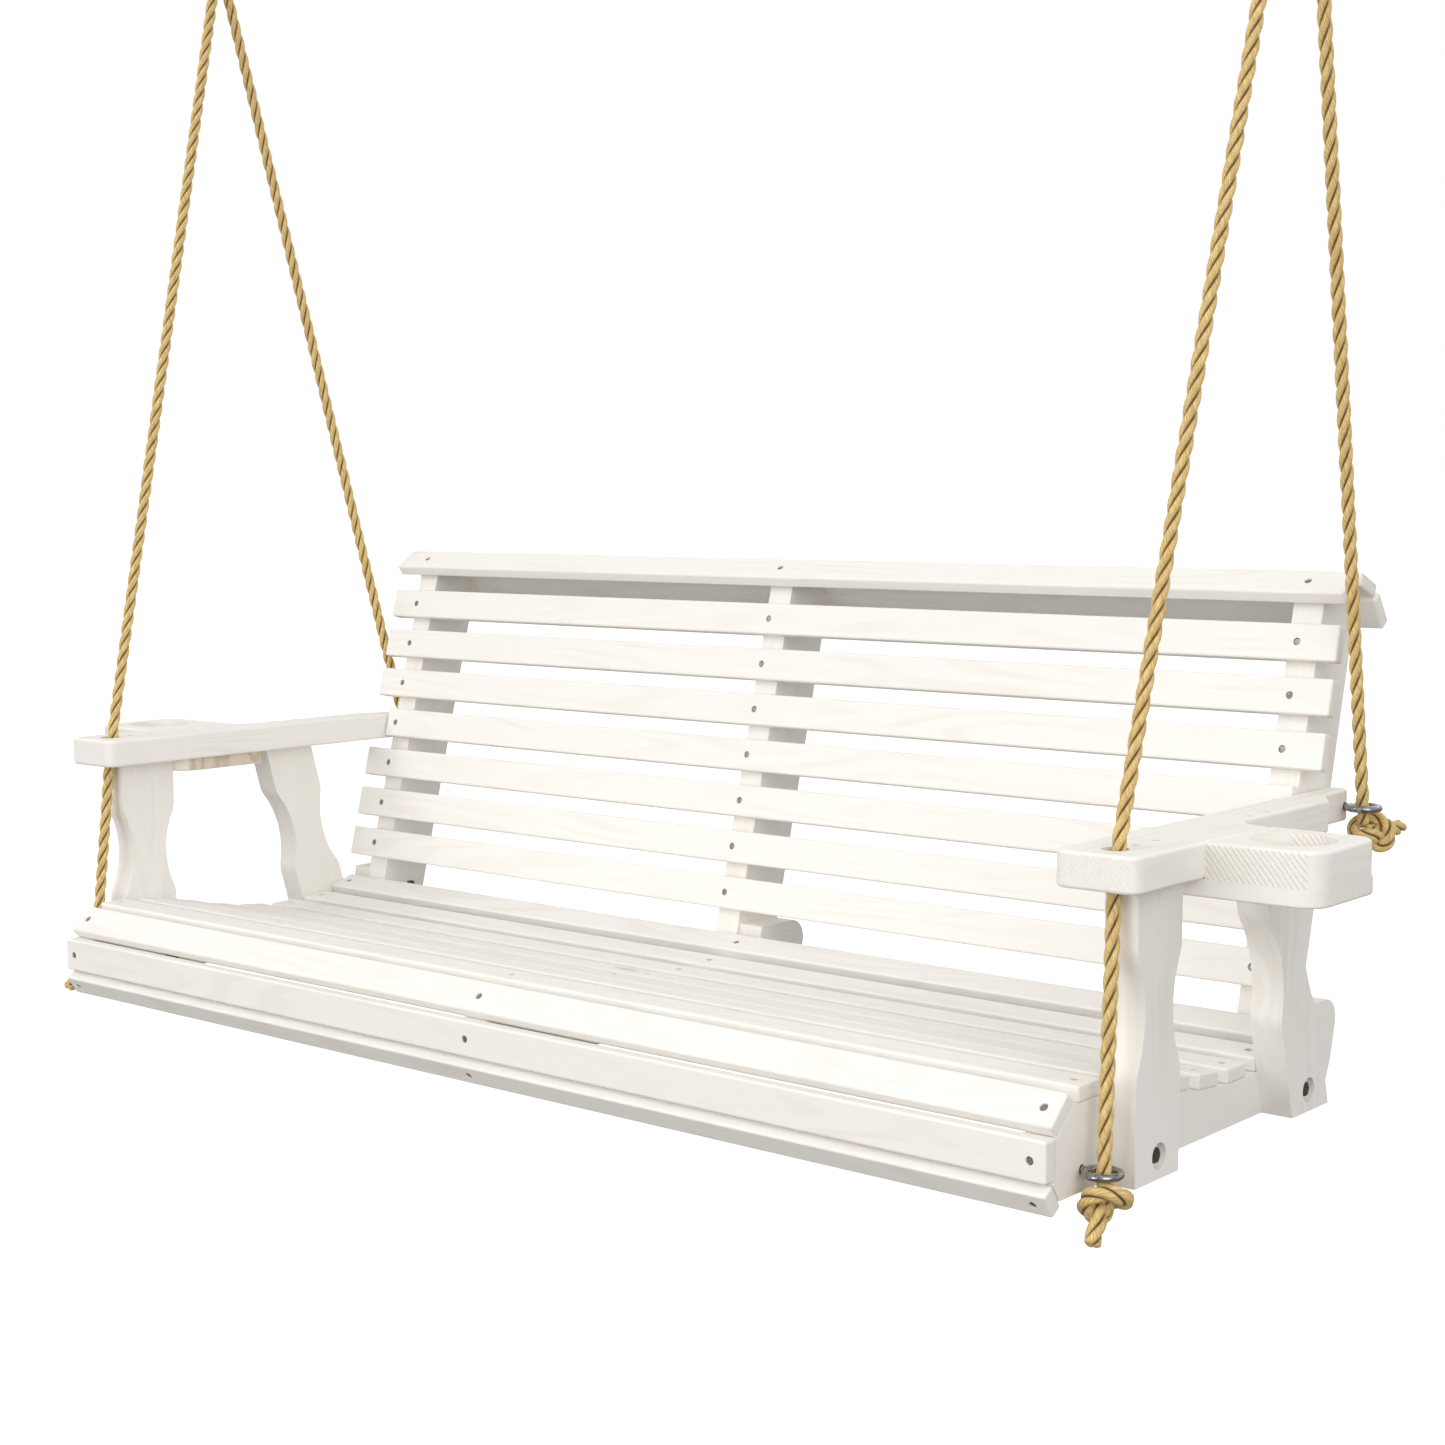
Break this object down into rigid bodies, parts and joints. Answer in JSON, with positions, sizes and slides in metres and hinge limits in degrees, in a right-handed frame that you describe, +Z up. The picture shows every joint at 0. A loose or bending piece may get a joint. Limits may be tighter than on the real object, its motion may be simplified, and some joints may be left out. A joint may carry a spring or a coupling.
{
  "type": "porch swing",
  "caption": "Wooden porch swing with a slatted contoured seat, leaning slatted back with rolled top, arms with cup holders, hung by ropes from ceiling hooks.",
  "frame": {"origin": "middle of the line through the two ceiling hooks, about which the swing turns", "axes": "+X along the seat to its right end, +Y towards the back, +Z up"},
  "size_m": [2.002, 0.7784, 1.7127],
  "materials": {
    "white_pine": "white semi-solid stain on sawn pine, satin",
    "manila_rope": "three-strand manila rope, matt",
    "zinc_steel": "zinc-plated steel, satin",
    "wood_screws": "weathered steel screw heads, satin"
  },
  "bodies": {
    "ceiling_hooks": {"ceiling_hook_left": "zinc_steel", "ceiling_hook_right": "zinc_steel"},
    "swing": {"arm_left": "white_pine", "arm_post_front_left": "white_pine", "arm_post_front_right": "white_pine", "arm_post_rear_left": "white_pine", "arm_post_rear_right": "white_pine", "arm_right": "white_pine", "arm_screws": "wood_screws", "back_post_centre": "white_pine", "back_post_left": "white_pine", "back_post_right": "white_pine", "back_screws": "wood_screws", "back_slat_1": "white_pine", "back_slat_2": "white_pine", "back_slat_3": "white_pine", "back_slat_4": "white_pine", "back_slat_5": "white_pine", "back_slat_6": "white_pine", "back_slat_7": "white_pine", "cup_block_left": "white_pine", "cup_block_right": "white_pine", "cup_plate_left": "white_pine", "cup_plate_right": "white_pine", "eye_bolt_front_left": "zinc_steel", "eye_bolt_front_right": "zinc_steel", "eye_bolt_rear_left": "zinc_steel", "eye_bolt_rear_right": "zinc_steel", "front_slat_face": "white_pine", "front_slat_lower": "white_pine", "front_slat_upper": "white_pine", "knot_front_left": "manila_rope", "knot_front_right": "manila_rope", "knot_rear_left": "manila_rope", "knot_rear_right": "manila_rope", "lag_screws": "zinc_steel", "nuts": "zinc_steel", "post_bolts": "zinc_steel", "rope_left": "manila_rope", "rope_right": "manila_rope", "seat_screws": "wood_screws", "seat_slat_1": "white_pine", "seat_slat_2": "white_pine", "seat_slat_3": "white_pine", "seat_slat_4": "white_pine", "seat_slat_5": "white_pine", "seat_slat_6": "white_pine", "seat_slat_7": "white_pine", "seat_slat_8": "white_pine", "seat_support_centre": "white_pine", "seat_support_left": "white_pine", "seat_support_right": "white_pine", "seizing_left": "manila_rope", "seizing_right": "manila_rope", "thimble_left": "zinc_steel", "thimble_right": "zinc_steel", "top_slat_front": "white_pine", "top_slat_middle": "white_pine", "top_slat_rear": "white_pine", "washers": "zinc_steel"}
  },
  "joints": [
    {"name": "swing_hang", "type": "hinge", "parent": "ceiling_hooks", "child": "swing", "pos_m": [0, 0, 0], "axis": [1, 0, 0], "range_deg": [-25, 25]}
  ]
}
